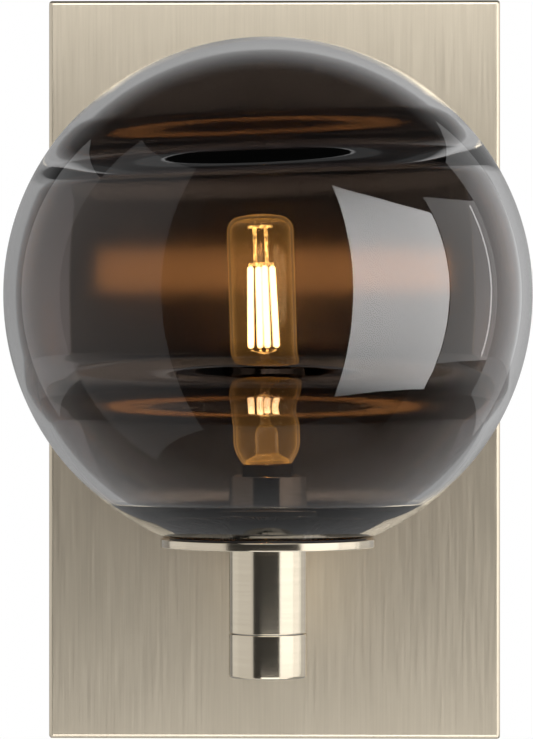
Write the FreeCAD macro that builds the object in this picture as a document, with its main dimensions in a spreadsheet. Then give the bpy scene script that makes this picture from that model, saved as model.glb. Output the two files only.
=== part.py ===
import FreeCAD, Part
import math
import os
import re

import Sketcher
from FreeCAD import Placement, Rotation, Vector

# Globe wall sconce, in millimetres, +Z up. The origin is the middle of the backplate's
# outline on the wall plane, +X runs to the right and +Y runs into the wall, so the room
# is on the -Y side. Every "drop" is a distance below the origin.

DIMENSIONS = {
    # backplate, a pan that is open towards the wall
    "plate_width": 139.7,
    "plate_height": 228.6,
    "plate_depth": 20.0,
    "plate_wall": 1.6,
    "plate_edge_round": 1.3,
    "plate_corner_round": 1.0,
    # arm between the backplate and the socket tube
    "arm_foot_margin": 9.7,
    "arm_radius": 6.35,
    "globe_reach": 100.0,
    "nipple_radius": 4.85,
    "nipple_bore": 3.6,
    "nipple_grip": 12.0,
    "nipple_tail": 10.5,
    "washer_radius": 7.6,
    "washer_thickness": 0.8,
    "tooth_length": 1.5,
    "tooth_width": 2.2,
    "tooth_count": 12,
    "nut_flats": 14.0,
    "nut_thickness": 3.0,
    "bushing_wall": 0.9,
    "bushing_flange": 1.2,
    "bushing_length": 6.0,
    # crossbar, the bracket on the wall box
    "bar_height": 22.0,
    "bar_thickness": 2.0,
    "bar_gap": 0.4,
    "bar_bend": 3.0,
    "tab_depth": 14.0,
    "slot_spacing": 79.4,
    "slot_radius": 2.3,
    "slot_length": 14.1,
    "ground_offset": 16.0,
    "ground_radius": 2.4,
    "ground_length": 6.2,
    "ground_flats": 7.9,
    "ground_head": 2.6,
    "ground_flange": 5.0,
    "flange_thickness": 0.8,
    "side_screw_radius": 2.05,
    "side_screw_length": 9.0,
    "side_screw_depth": 9.0,
    "side_screw_recess": 0.2,
    "key_flats": 2.0,
    "key_depth": 2.5,
    # socket tube and the disc that carries the globe
    "tube_radius": 11.1,
    "tube_wall": 1.0,
    "tube_top_drop": 30.1,
    "tube_foot_drop": 74.7,
    "tube_edge_round": 0.3,
    "wire_hole_radius": 4.0,
    "seat_drop": 48.0,
    "seat_radius": 30.5,
    "seat_thickness": 2.35,
    "seat_edge_round": 0.35,
    "gasket_radius": 28.0,
    "gasket_thickness": 0.5,
    "sleeve_height": 8.5,
    "sleeve_chamfer": 0.8,
    # end cap under the tube
    "seam_gap": 0.2,
    "cap_length": 12.5,
    "cap_wall": 1.2,
    "cap_floor": 1.6,
    "cap_edge_round": 0.8,
    "cap_thread_length": 5.0,
    "cap_thread_hold": 6.0,
    "cap_thread_wall": 1.8,
    # globe
    "globe_radius": 75.0,
    "foot_radius": 29.85,
    "globe_wall": 3.5,
    "crown_drop": 2.0,
    "crown_flattening": 1.5,
    "floor_thickness": 9.0,
    "bowl_round": 15.0,
    "neck_radius": 14.3,
    "foot_edge_round": 1.0,
    "upper_ring_latitude": 30.9,
    "upper_ring_half_height": 9.5,
    "upper_ring_depth": 3.5,
    "lower_ring_latitude": 25.4,
    "lower_ring_half_height": 13.0,
    "lower_ring_depth": 4.5,
    "ring_nose_radius": 6.0,
    # lamp holder
    "socket_recess": 1.1,
    "socket_height": 28.0,
    "socket_bore_depth": 20.0,
    "socket_shell_wall": 0.4,
    "socket_shell_length": 16.0,
    "socket_shell_inset": 1.8,
    "socket_lip": 3.4,
    "contact_width": 4.0,
    "contact_span": 5.6,
    "contact_rise": 1.0,
    "contact_thickness": 0.35,
    "terminal_notch_width": 6.4,
    "terminal_notch_depth": 2.6,
    "terminal_notch_height": 9.0,
    "terminal_head_radius": 2.2,
    "terminal_head": 1.6,
    "terminal_radius": 1.4,
    "terminal_length": 4.0,
    "shelf_thickness": 1.5,
    "shelf_wire_radius": 1.9,
    "shelf_wire_offset": 7.6,
    "socket_nipple_hold": 4.0,
    "socket_nipple_tail": 5.5,
    # lamp
    "bulb_radius": 9.45,
    "bulb_glass": 0.8,
    "bulb_glass_length": 70.9,
    "bulb_shoulder": 4.0,
    "bulb_dome_rise": 1.0,
    "bulb_neck_radius": 6.9,
    "bulb_neck_round": 6.0,
    "bulb_lean": 1.8,
    "collar_radius": 7.25,
    "collar_height": 3.9,
    "collar_dip": 0.5,
    "bulb_shell_radius": 5.85,
    "bulb_shell_wall": 0.5,
    "bulb_shell_length": 16.0,
    "bulb_cone": 1.8,
    "tip_radius": 2.4,
    "tip_length": 1.2,
    "mount_flare": 1.0,
    "mount_radius": 3.2,
    "mount_height": 12.0,
    "mount_rod_radius": 1.3,
    "mount_rod_height": 16.0,
    "filament_radius": 0.95,
    "filament_length": 23.5,
    "filament_foot_height": 32.7,
    "filament_foot_spread": 3.8,
    "filament_top_spread": 3.2,
    "filament_turn": 17.0,
    "filament_count": 4,
    "support_wire_radius": 0.35,
    "support_gap": 0.1,
    "support_plate_radius": 3.6,
    "support_plate": 0.7,
    "support_post_radius": 0.55,
    "support_post_length": 8.0,
    "support_post_offset": 1.6,
    # clearances
    "bolt_clearance": 0.2,
    "thread_clearance": 0.3,
    "turn_clearance": 0.05,
}

doc = FreeCAD.newDocument("globe_wall_sconce")
sheet = doc.addObject("Spreadsheet::Sheet", "Sizes")
for row, (alias, number) in enumerate(DIMENSIONS.items(), start=1):
    sheet.set(f"A{row}", alias)
    sheet.set(f"B{row}", str(number))
    sheet.setAlias(f"B{row}", alias)
doc.recompute()

# Places that several pieces share, as expressions of the dimensions
AXIS_REACH = "(plate_depth + globe_reach)"
ARM_DROP = "(tube_foot_drop - arm_foot_margin)"
CAP_RIM = "(-tube_foot_drop - seam_gap)"
CAP_FOOT = f"({CAP_RIM} - cap_length)"
TUBE_BORE = "(tube_radius - tube_wall)"
PAN_WIDTH = "(plate_width - 2 * plate_wall)"
PAN_HEIGHT = "(plate_height - 2 * plate_wall)"
FOOT = "(gasket_thickness - seat_drop)"
FLOOR = f"({FOOT} + floor_thickness)"
INNER_RADIUS = "(globe_radius - globe_wall)"
GLOBE_CENTRE = f"({FOOT} + sqrt(globe_radius^2 - foot_radius^2))"
SOCKET_TOP = "(-tube_top_drop - socket_recess)"
SOCKET_FOOT = f"({SOCKET_TOP} - socket_height)"
SOCKET_FLOOR = f"({SOCKET_TOP} - socket_bore_depth)"
SOCKET_SHELL_BORE = "(bulb_shell_radius + thread_clearance)"
TERMINAL_HEIGHT = f"(({SOCKET_FLOOR} + {SOCKET_FOOT} + socket_nipple_hold) / 2)"
SHELF_FOOT = f"({SOCKET_FOOT} - shelf_thickness)"
COLLAR_FOOT = "(-tube_top_drop - collar_dip)"
COLLAR_TOP = f"({COLLAR_FOOT} + collar_height)"
SHELL_TOP = f"({COLLAR_FOOT} - bulb_shell_radius * sin(bulb_lean))"
SHELL_FOOT = f"({COLLAR_FOOT} - bulb_shell_length)"
TIP_TOP = f"({SHELL_FOOT} - bulb_cone)"
BULB_TOP = f"({COLLAR_TOP} + bulb_glass_length)"
FILAMENT_FOOT = f"({COLLAR_TOP} + filament_foot_height)"
FILAMENT_TOP = f"({FILAMENT_FOOT} + filament_length)"
STEM_TOP = f"({COLLAR_TOP} + mount_height + mount_rod_height)"
HOLDER_FOOT = f"({FILAMENT_TOP} + support_gap)"


def scoped(expression):
    """The expression with every dimension read from the sheet."""
    return re.sub(r"\b([a-z]+(?:_[a-z]+)+)\b", r"Sizes.\1", expression)


def bind(thing, target, expression):
    """Binds a property or constraint to an expression of the dimensions."""
    thing.setExpression(target, scoped(expression))


def value(expression):
    """The present number of an expression, for first guesses and counts."""
    return float(sheet.evalExpression(scoped(expression)))


def place(thing, x="0", y="0", z="0", rotation=None):
    """Puts an object at bound coordinates, with a fixed rotation."""
    if rotation is not None:
        thing.Placement = Placement(Vector(), rotation)
    for axis, expression in zip("xyz", (x, y, z)):
        if expression != "0":
            bind(thing, f"Placement.Base.{axis}", expression)


OUTWARD = Rotation(Vector(1, 0, 0), 90)


def new_body(label):
    body = doc.addObject("PartDesign::Body", label)
    body.Label = label
    return body


def sketch_on(body, role, name, offset="0"):
    """A sketch on one of the body's own origin planes, moved along its normal."""
    plane = next(item for item in body.Origin.OriginFeatures if item.Role == role)
    sketch = body.newObject("Sketcher::SketchObject", name)
    sketch.AttachmentSupport = (plane, "")
    sketch.MapMode = "FlatFace"
    if offset != "0":
        bind(sketch, "AttachmentOffset.Base.z", offset)
    return sketch


def fix_point(sketch, geometry, end, x, y):
    """Holds a sketch point at bound distances from the sketch's origin."""
    for kind, expression in (("DistanceX", x), ("DistanceY", y)):
        number = value(expression)
        index = sketch.addConstraint(
            Sketcher.Constraint(kind, -1, 1, geometry, end, number)
        )
        bind(sketch, f"Constraints[{index}]", expression)


def add_circle(sketch, x, y, radius):
    """A bound circle."""
    centre = Vector(value(x), value(y), 0)
    circle = sketch.addGeometry(Part.Circle(centre, Vector(0, 0, 1), value(radius)))
    fix_point(sketch, circle, 3, x, y)
    index = sketch.addConstraint(Sketcher.Constraint("Radius", circle, value(radius)))
    bind(sketch, f"Constraints[{index}]", radius)


def arc_between(start, end, radius, turn):
    """The shorter arc from start to end: turn is 1 anticlockwise, -1 clockwise."""
    half = (end - start) * 0.5
    height = math.sqrt(max(radius**2 - half.Length**2, 0.0))
    side = Vector(-half.y, half.x, 0).normalize() * height * turn
    centre = start + half + side
    first, last = (start, end) if turn > 0 else (end, start)
    angles = [math.atan2(p.y - centre.y, p.x - centre.x) for p in (first, last)]
    return Part.ArcOfCircle(Part.Circle(centre, Vector(0, 0, 1), radius), *angles)


def add_outline(sketch, start, *steps):
    """A closed outline. A step is (x, y) for a line, or (x, y, radius, turn) for an arc."""
    corner = Vector(value(start[0]), value(start[1]), 0)
    ends = []
    for step in (*steps, start) if steps[-1][:2] != start else steps:
        target = Vector(value(step[0]), value(step[1]), 0)
        if len(step) == 2:
            geometry = sketch.addGeometry(Part.LineSegment(corner, target))
            ends.append((geometry, 1, 2, step))
        else:
            radius, turn = step[2], step[3]
            arc = arc_between(corner, target, value(radius), turn)
            geometry = sketch.addGeometry(arc)
            ends.append((geometry, 1 if turn > 0 else 2, 2 if turn > 0 else 1, step))
        corner = target
    for (before, _, last, _), (after, first, _, _) in zip(ends, ends[1:] + ends[:1]):
        sketch.addConstraint(Sketcher.Constraint("Coincident", before, last, after, first))
    for geometry, _, last, step in ends:
        fix_point(sketch, geometry, last, step[0], step[1])
        if len(step) == 4:
            constraint = Sketcher.Constraint("Radius", geometry, value(step[2]))
            bind(sketch, f"Constraints[{sketch.addConstraint(constraint)}]", step[2])


def add_rectangle(sketch, low_x, low_y, high_x, high_y):
    """A bound rectangle."""
    add_outline(sketch, (low_x, low_y), (high_x, low_y), (high_x, high_y), (low_x, high_y))


def pad(body, sketch, name, length, reverse=False, midplane=False):
    """Material from a sketch."""
    feature = body.newObject("PartDesign::Pad", name)
    feature.Profile = sketch
    feature.Reversed = reverse
    feature.Midplane = midplane
    bind(feature, "Length", length)
    doc.recompute()
    return feature


def pocket(body, sketch, name, length, reverse=False, midplane=False):
    """A cut from a sketch, which has to take material away."""
    before = body.Shape.Volume
    feature = body.newObject("PartDesign::Pocket", name)
    feature.Profile = sketch
    feature.Reversed = reverse
    feature.Midplane = midplane
    bind(feature, "Length", length)
    doc.recompute()
    if body.Shape.Volume > before - 1e-6:
        raise RuntimeError(f"{name} cuts nothing")
    return feature


def turned(label, start, *steps):
    """A body turned about its own upright axis from an outline of (radius, height)."""
    body = new_body(label)
    sketch = sketch_on(body, "XZ_Plane", f"{label}_profile")
    add_outline(sketch, start, *steps)
    feature = body.newObject("PartDesign::Revolution", f"{label}_turn")
    feature.Profile = sketch
    feature.ReferenceAxis = (sketch, ["V_Axis"])
    feature.Angle = 360
    doc.recompute()
    return body


def ring(label, inner, outer, low, high):
    """A turned ring with a rectangular section."""
    return turned(label, (inner, low), (outer, low), (outer, high), (inner, high))


def round_edges(body, name, radius, wanted):
    """Rounds the edges of the body's last feature that the test accepts."""
    base = body.Tip
    edges = [
        f"Edge{number}"
        for number, edge in enumerate(base.Shape.Edges, start=1)
        if wanted(edge)
    ]
    feature = body.newObject("PartDesign::Fillet", name)
    feature.Base = (base, edges)
    bind(feature, "Radius", radius)
    doc.recompute()
    return feature


def edge_at(height, radius):
    """A test for a whole circular edge at that height and radius of a turned body."""
    height, radius = value(height), value(radius)

    def test(edge):
        return (
            not edge.Degenerated
            and isinstance(edge.Curve, Part.Circle)
            and abs(edge.Curve.Radius - radius) < 1e-4
            and abs(edge.Curve.Center.z - height) < 1e-4
        )

    return test


def cylinder(name, radius, height):
    """A Part cylinder along its own Z."""
    item = doc.addObject("Part::Cylinder", name)
    bind(item, "Radius", radius)
    bind(item, "Height", height)
    return item


def hexagon(name, flats, height):
    """A hexagonal prism, given across its flats."""
    item = doc.addObject("Part::Prism", name)
    item.Polygon = 6
    bind(item, "Circumradius", f"{flats} / (2 * cos(30))")
    bind(item, "Height", height)
    return item


def cut(label, base, tool):
    """The base without the tool."""
    item = doc.addObject("Part::Cut", label)
    item.Base = base
    item.Tool = tool
    item.Label = label
    return item


def fuse(label, *pieces):
    """One solid of several."""
    item = doc.addObject("Part::MultiFuse", label)
    item.Shapes = list(pieces)
    item.Label = label
    return item


def group(label, *pieces):
    """Separate solids that share a node."""
    item = doc.addObject("Part::Compound", label)
    item.Links = list(pieces)
    item.Label = label
    return item


def on_globe_axis(thing, height="0"):
    """Moves a turned piece to the upright axis through the globe."""
    place(thing, y=f"-{AXIS_REACH}", z=height)
    return thing


def on_arm_axis(thing, distance="0"):
    """Turns a piece so that its axis leaves the wall, at a distance from the wall."""
    place(thing, y=f"-({distance})", z=f"-{ARM_DROP}", rotation=OUTWARD)
    return thing


def lean(thing, height="0"):
    """Tilts a glass piece of the lamp about the middle of its collar's foot."""
    angle = value("bulb_lean")
    pivot = Vector(0, -value(AXIS_REACH), value(COLLAR_FOOT))
    tilt = Placement(Vector(), Rotation(Vector(0, -1, 0), angle), pivot)
    upright = Placement(Vector(0, -value(AXIS_REACH), value(height)), Rotation())
    thing.Placement = tilt.multiply(upright)
    return thing


def make_backplate():
    """A deep-drawn pan with holes for the arm's nipple and the side screws."""
    body = new_body("backplate")
    outline = sketch_on(body, "XZ_Plane", "backplate_outline")
    add_rectangle(
        outline, "-plate_width / 2", "-plate_height / 2", "plate_width / 2", "plate_height / 2"
    )
    pad(body, outline, "backplate_pad", "plate_depth")
    round_edges(
        body,
        "backplate_corners",
        "plate_corner_round",
        lambda edge: abs(edge.tangentAt(edge.FirstParameter).y) > 0.99,
    )
    front = -value("plate_depth")
    round_edges(
        body,
        "backplate_edges",
        "plate_edge_round",
        lambda edge: edge.BoundBox.YMax < front + 1e-6,
    )
    inside = sketch_on(body, "XZ_Plane", "backplate_inside")
    add_rectangle(
        inside, f"-{PAN_WIDTH} / 2", f"-{PAN_HEIGHT} / 2", f"{PAN_WIDTH} / 2", f"{PAN_HEIGHT} / 2"
    )
    pocket(body, inside, "backplate_hollow", "plate_depth - plate_wall", reverse=True)
    arm_hole = sketch_on(body, "XZ_Plane", "backplate_arm_hole")
    add_circle(arm_hole, "0", f"-{ARM_DROP}", "nipple_radius + bolt_clearance")
    pocket(body, arm_hole, "backplate_arm_cut", "2 * plate_depth", reverse=True)
    side_hole = sketch_on(body, "YZ_Plane", "backplate_side_hole")
    add_circle(side_hole, "-side_screw_depth", "0", "side_screw_radius + bolt_clearance")
    pocket(body, side_hole, "backplate_side_cut", "plate_width + 2 * plate_wall", midplane=True)
    return body


def make_crossbar():
    """A flat bar with two tapped tabs bent forward, and slots for the wall box."""
    body = new_body("crossbar")
    half = f"({PAN_WIDTH} / 2 - bar_gap)"
    section = sketch_on(body, "XY_Plane", "crossbar_section")
    add_outline(
        section,
        (f"-{half}", "0"),
        (f"-{half}", "-tab_depth"),
        (f"-{half} + bar_thickness", "-tab_depth"),
        (f"-{half} + bar_thickness", "-bar_thickness"),
        (f"{half} - bar_thickness", "-bar_thickness"),
        (f"{half} - bar_thickness", "-tab_depth"),
        (half, "-tab_depth"),
        (half, "0"),
    )
    pad(body, section, "crossbar_pad", "bar_height", midplane=True)
    reach = value(half)
    round_edges(
        body,
        "crossbar_bends",
        "bar_bend",
        lambda edge: abs(edge.tangentAt(edge.FirstParameter).z) > 0.99
        and abs(edge.CenterOfMass.y) < 1e-6
        and abs(abs(edge.CenterOfMass.x) - reach) < 1e-6,
    )
    slots = sketch_on(body, "XZ_Plane", "crossbar_slots")
    travel = "(slot_length / 2 - slot_radius)"
    for side in (-1, 1):
        middle = f"{side} * slot_spacing / 2"
        add_outline(
            slots,
            (f"{middle} - {travel}", "-slot_radius"),
            (f"{middle} + {travel}", "-slot_radius"),
            (f"{middle} + {travel} + slot_radius", "0", "slot_radius", 1),
            (f"{middle} + {travel}", "slot_radius", "slot_radius", 1),
            (f"{middle} - {travel}", "slot_radius"),
            (f"{middle} - {travel} - slot_radius", "0", "slot_radius", 1),
            (f"{middle} - {travel}", "-slot_radius", "slot_radius", 1),
        )
    add_circle(slots, "ground_offset", "0", "ground_radius")
    pocket(body, slots, "crossbar_slot_cut", "2 * bar_thickness", reverse=True)
    tapped = sketch_on(body, "YZ_Plane", "crossbar_tapped")
    add_circle(tapped, "-side_screw_depth", "0", "side_screw_radius")
    pocket(body, tapped, "crossbar_tapped_cut", "plate_width", midplane=True)
    return body


def make_ground_screw():
    """A hex washer-head screw, backed out for the wire."""
    shank = cylinder("ground_shank", "ground_radius", "ground_length")
    flange = cylinder("ground_flange_disc", "ground_flange", "flange_thickness")
    head = hexagon("ground_head_hex", "ground_flats", "ground_head")
    bind(flange, "Placement.Base.z", "ground_length")
    bind(head, "Placement.Base.z", "ground_length + flange_thickness")
    screw = fuse("ground_screw", shank, flange, head)
    place(screw, x="ground_offset", rotation=OUTWARD)
    return screw


def make_side_screws():
    """Two headless screws with hexagonal sockets, flush with the pan's sides."""
    screws = []
    for side, name in ((1, "right"), (-1, "left")):
        shank = cylinder(f"side_shank_{name}", "side_screw_radius", "side_screw_length")
        key = hexagon(f"side_key_{name}", "key_flats", "key_depth")
        bind(key, "Placement.Base.z", "side_screw_length - key_depth")
        screw = cut(f"side_screw_{name}", shank, key)
        inner = "(plate_width / 2 - side_screw_recess - side_screw_length)"
        turn = Rotation(Vector(0, 1, 0), 90 * side)
        place(screw, x=f"{side} * {inner}", y="-side_screw_depth", rotation=turn)
        screws.append(screw)
    return group("side_screws", *screws)


def make_arm():
    """A tube whose front end is coped to the socket tube."""
    outer = on_arm_axis(cylinder("arm_outside", "arm_radius", "globe_reach"), "plate_depth")
    bore = on_arm_axis(cylinder("arm_bore", "nipple_radius", "globe_reach"), "plate_depth")
    saddle = cylinder("arm_saddle", "tube_radius", "4 * arm_radius")
    on_globe_axis(saddle, f"-{ARM_DROP} - 2 * arm_radius")
    return cut("arm", cut("arm_tube", outer, bore), saddle)


def make_arm_nipple():
    """A hollow threaded rod, screwed into the arm and reaching into the pan."""
    length = "nipple_grip + nipple_tail"
    nipple = ring("arm_nipple", "nipple_bore", "nipple_radius", "0", length)
    return on_arm_axis(nipple, "plate_depth - nipple_tail")


def make_arm_washer():
    """A lock washer with teeth all round."""
    body = ring(
        "arm_washer",
        "nipple_radius + bolt_clearance",
        "washer_radius",
        "0",
        "washer_thickness",
    )
    tooth = sketch_on(body, "XY_Plane", "washer_tooth_outline")
    root = "washer_radius - washer_thickness"
    tip = "washer_radius + tooth_length"
    add_outline(
        tooth,
        (root, "-tooth_width / 2"),
        (tip, "-tooth_width / 3"),
        (tip, "tooth_width / 3"),
        (root, "tooth_width / 2"),
    )
    feature = pad(body, tooth, "washer_tooth", "washer_thickness")
    pattern = body.newObject("PartDesign::PolarPattern", "washer_teeth")
    pattern.Originals = [feature]
    pattern.Axis = (tooth, ["N_Axis"])
    pattern.Angle = 360
    bind(pattern, "Occurrences", "tooth_count")
    body.Tip = pattern
    return on_arm_axis(body, "plate_depth - plate_wall - washer_thickness")


def make_arm_nut():
    """The hex nut that draws the arm against the pan."""
    blank = hexagon("arm_nut_hex", "nut_flats", "nut_thickness")
    bore = cylinder("arm_nut_bore", "nipple_radius", "nut_thickness")
    nut = cut("arm_nut", blank, bore)
    return on_arm_axis(nut, "plate_depth - plate_wall - washer_thickness - nut_thickness")


def make_wire_bushing():
    """A flanged plastic bushing in the rear end of the nipple."""
    bushing = turned(
        "wire_bushing",
        ("nipple_bore - bushing_wall", "-bushing_flange"),
        ("nipple_radius", "-bushing_flange"),
        ("nipple_radius", "0"),
        ("nipple_bore", "0"),
        ("nipple_bore", "bushing_length"),
        ("nipple_bore - bushing_wall", "bushing_length"),
    )
    return on_arm_axis(bushing, "plate_depth - nipple_tail")


def make_socket_tube():
    """The upright tube, with a hole where the arm's wires come in."""
    body = ring("socket_tube", TUBE_BORE, "tube_radius", "-tube_foot_drop", "-tube_top_drop")
    top = edge_at("-tube_top_drop", "tube_radius")
    foot = edge_at("-tube_foot_drop", "tube_radius")
    round_edges(body, "tube_ends", "tube_edge_round", lambda edge: top(edge) or foot(edge))
    hole = sketch_on(body, "XZ_Plane", "tube_wire_hole")
    add_circle(hole, "0", f"-{ARM_DROP}", "wire_hole_radius")
    pocket(body, hole, "tube_wire_cut", "2 * tube_radius")
    return on_globe_axis(body)


def make_glass_seat():
    """The thin disc under the globe."""
    low = "-seat_drop - seat_thickness"
    body = ring("glass_seat", "tube_radius", "seat_radius", low, "-seat_drop")
    top = edge_at("-seat_drop", "seat_radius")
    foot = edge_at(low, "seat_radius")
    round_edges(body, "seat_rim", "seat_edge_round", lambda edge: top(edge) or foot(edge))
    return on_globe_axis(body)


def make_seat_gasket():
    """A thin black washer between the disc and the globe."""
    inner = "neck_radius - thread_clearance"
    return on_globe_axis(ring("seat_gasket", inner, "gasket_radius", "-seat_drop", FOOT))


def make_grip_sleeve():
    """A rubber sleeve on the tube that centres the globe's neck."""
    outer = "neck_radius - thread_clearance"
    top = "sleeve_height - seat_drop"
    sleeve = turned(
        "grip_sleeve",
        ("tube_radius", "-seat_drop"),
        (outer, "-seat_drop"),
        (outer, f"{top} - sleeve_chamfer"),
        (f"{outer} - sleeve_chamfer", top),
        ("tube_radius", top),
    )
    return on_globe_axis(sleeve)


def make_end_cap():
    """A drawn cup that closes the tube's foot."""
    bore = "(tube_radius - cap_wall)"
    body = turned(
        "end_cap",
        ("0", CAP_FOOT),
        ("tube_radius", CAP_FOOT),
        ("tube_radius", CAP_RIM),
        (bore, CAP_RIM),
        (bore, f"{CAP_FOOT} + cap_floor"),
        ("0", f"{CAP_FOOT} + cap_floor"),
    )
    round_edges(body, "cap_foot", "cap_edge_round", edge_at(CAP_FOOT, "tube_radius"))
    round_edges(body, "cap_rim", "tube_edge_round", edge_at(CAP_RIM, "tube_radius"))
    return on_globe_axis(body)


def make_cap_thread_ring():
    """The threaded ring that holds the end cap on the tube."""
    held = "(tube_radius - cap_wall - turn_clearance)"
    thread = f"({TUBE_BORE} - thread_clearance)"
    bore = f"({thread} - cap_thread_wall)"
    body = turned(
        "cap_thread_ring",
        (bore, f"{CAP_RIM} - cap_thread_hold"),
        (held, f"{CAP_RIM} - cap_thread_hold"),
        (held, CAP_RIM),
        (thread, CAP_RIM),
        (thread, f"{CAP_RIM} + cap_thread_length"),
        (bore, f"{CAP_RIM} + cap_thread_length"),
    )
    return on_globe_axis(body)


def make_globe():
    """A blown globe: a flattened crown, two inner rings, a thick floor and a plain neck."""
    # The side is an arc of the shoulder radius down from the crown's joint, which meets the
    # flatter crown arc and the true sphere of the lower half without a kink
    shoulder = "(globe_radius - crown_drop - crown_drop^2 / (2 * crown_flattening))"
    crown = "(globe_radius + crown_flattening)"
    shift = f"(globe_radius - {shoulder})"
    depth = "(crown_drop + crown_flattening)"
    crown_centre = f"({GLOBE_CENTRE} - {depth})"
    lean_x = f"({shift} / ({crown} - {shoulder}))"
    lean_z = f"({depth} / ({crown} - {shoulder}))"

    inner_crown = f"({crown} - globe_wall)"
    inner_side = f"({shoulder} - globe_wall)"

    def side_at(height):
        """The inner radius of the upper half at a height above the globe's centre."""
        return f"({shift} + sqrt({inner_side}^2 - ({height})^2))"

    def bowl_at(height):
        """The inner radius of the lower half at a height above the globe's centre."""
        return f"sqrt({INNER_RADIUS}^2 - ({height})^2)"

    def ring_steps(inner_at, middle, half, ring_depth):
        """An inner ring, from the end of its lower toe: a round nose between hollow toes."""
        slope = f"({ring_depth} / {half})"
        sine = f"(2 * {slope} / (1 + {slope}^2))"
        versine = f"(2 * {slope}^2 / (1 + {slope}^2))"
        nose = f"(ring_nose_radius * {sine})"
        rise = f"({ring_depth} - ring_nose_radius * {versine})"
        toe = f"(1 / (1 / ({half} / {sine} - ring_nose_radius) + 1 / {INNER_RADIUS}))"
        top = f"(1 / (1 / ring_nose_radius - 1 / {INNER_RADIUS}))"
        heights = [f"({middle} {offset})" for offset in (f"+ {nose}", f"- {nose}", f"- {half}")]
        return (
            (f"{inner_at(heights[0])} - {rise}", f"{GLOBE_CENTRE} + {heights[0]}", toe, -1),
            (f"{inner_at(heights[1])} - {rise}", f"{GLOBE_CENTRE} + {heights[1]}", top, 1),
            (inner_at(heights[2]), f"{GLOBE_CENTRE} + {heights[2]}", toe, -1),
        )

    bowl_gap = f"({INNER_RADIUS} - bowl_round)"
    bowl_rise = f"({FLOOR} + bowl_round - {GLOBE_CENTRE})"
    bowl_x = f"sqrt({bowl_gap}^2 - {bowl_rise}^2)"
    bowl_end_x = f"({bowl_x} * {INNER_RADIUS} / {bowl_gap})"
    bowl_end_z = f"({GLOBE_CENTRE} + {bowl_rise} * {INNER_RADIUS} / {bowl_gap})"
    upper = f"({INNER_RADIUS} * sin(upper_ring_latitude))"
    lower = f"(-{INNER_RADIUS} * sin(lower_ring_latitude))"
    upper_top = f"({upper} + upper_ring_half_height)"
    lower_top = f"({lower} + lower_ring_half_height)"
    body = turned(
        "globe_glass",
        ("neck_radius", FOOT),
        ("foot_radius", FOOT),
        ("globe_radius", GLOBE_CENTRE, "globe_radius", 1),
        (f"{crown} * {lean_x}", f"{crown_centre} + {crown} * {lean_z}", shoulder, 1),
        ("0", f"{crown_centre} + {crown}", crown, 1),
        ("0", f"{crown_centre} + {inner_crown}"),
        (
            f"{inner_crown} * {lean_x}",
            f"{crown_centre} + {inner_crown} * {lean_z}",
            inner_crown,
            -1,
        ),
        (side_at(upper_top), f"{GLOBE_CENTRE} + {upper_top}", inner_side, -1),
        *ring_steps(side_at, upper, "upper_ring_half_height", "upper_ring_depth"),
        (INNER_RADIUS, GLOBE_CENTRE, inner_side, -1),
        (bowl_at(lower_top), f"{GLOBE_CENTRE} + {lower_top}", INNER_RADIUS, -1),
        *ring_steps(bowl_at, lower, "lower_ring_half_height", "lower_ring_depth"),
        (bowl_end_x, bowl_end_z, INNER_RADIUS, -1),
        (bowl_x, FLOOR, "bowl_round", -1),
        ("neck_radius", FLOOR),
    )
    round_edges(body, "globe_foot", "foot_edge_round", edge_at(FOOT, "foot_radius"))
    return on_globe_axis(body)


def make_socket_insulator():
    """The lamp holder's body, with a bore for its shell and a notch for each terminal."""
    outer = f"({TUBE_BORE} - thread_clearance)"
    bore = f"({SOCKET_SHELL_BORE} + socket_shell_wall)"
    body = turned(
        "socket_insulator",
        ("nipple_radius", SOCKET_FOOT),
        (outer, SOCKET_FOOT),
        (outer, SOCKET_TOP),
        (bore, SOCKET_TOP),
        (bore, SOCKET_FLOOR),
        ("0", SOCKET_FLOOR),
        ("0", f"{SOCKET_FOOT} + socket_nipple_hold"),
        ("nipple_radius", f"{SOCKET_FOOT} + socket_nipple_hold"),
    )
    notch = sketch_on(body, "XY_Plane", "socket_notch_outline", SOCKET_FOOT)
    for side in (-1, 1):
        near, far = f"{side} * ({outer} - terminal_notch_depth)", f"{side} * 2 * {outer}"
        low, high = sorted((near, far), key=value)
        add_rectangle(notch, "-terminal_notch_width / 2", low, "terminal_notch_width / 2", high)
    pocket(body, notch, "socket_notches", "terminal_notch_height", reverse=True)
    tapped = sketch_on(body, "XZ_Plane", "socket_tapped_outline")
    add_circle(tapped, "0", TERMINAL_HEIGHT, "terminal_radius")
    pocket(body, tapped, "socket_tapped", f"2 * {outer}", midplane=True)
    return on_globe_axis(body)


def make_socket_shell():
    """The brass shell that the lamp screws into, with an inward lip at its foot."""
    top = f"({SOCKET_TOP} - socket_shell_inset)"
    foot = f"({top} - socket_shell_length)"
    outer = f"({SOCKET_SHELL_BORE} + socket_shell_wall)"
    shell = turned(
        "socket_shell",
        ("socket_lip", foot),
        (outer, foot),
        (outer, top),
        (SOCKET_SHELL_BORE, top),
        (SOCKET_SHELL_BORE, f"{foot} + socket_shell_wall"),
        ("socket_lip", f"{foot} + socket_shell_wall"),
    )
    return on_globe_axis(shell)


def make_socket_contact():
    """A bent leaf on the lamp holder's floor."""
    body = new_body("socket_contact")
    leaf = sketch_on(body, "XZ_Plane", "contact_profile")
    half = "contact_span / 2"
    low = SOCKET_FLOOR
    high = f"{SOCKET_FLOOR} + contact_rise"
    add_outline(
        leaf,
        (f"-{half}", low),
        (half, low),
        (half, f"{low} + contact_thickness"),
        (f"-{half} / 2", f"{low} + contact_thickness"),
        (half, high),
        (half, f"{high} + contact_thickness"),
        (f"-{half}", f"{low} + contact_thickness"),
    )
    pad(body, leaf, "contact_pad", "contact_width", midplane=True)
    return on_globe_axis(body)


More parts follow.
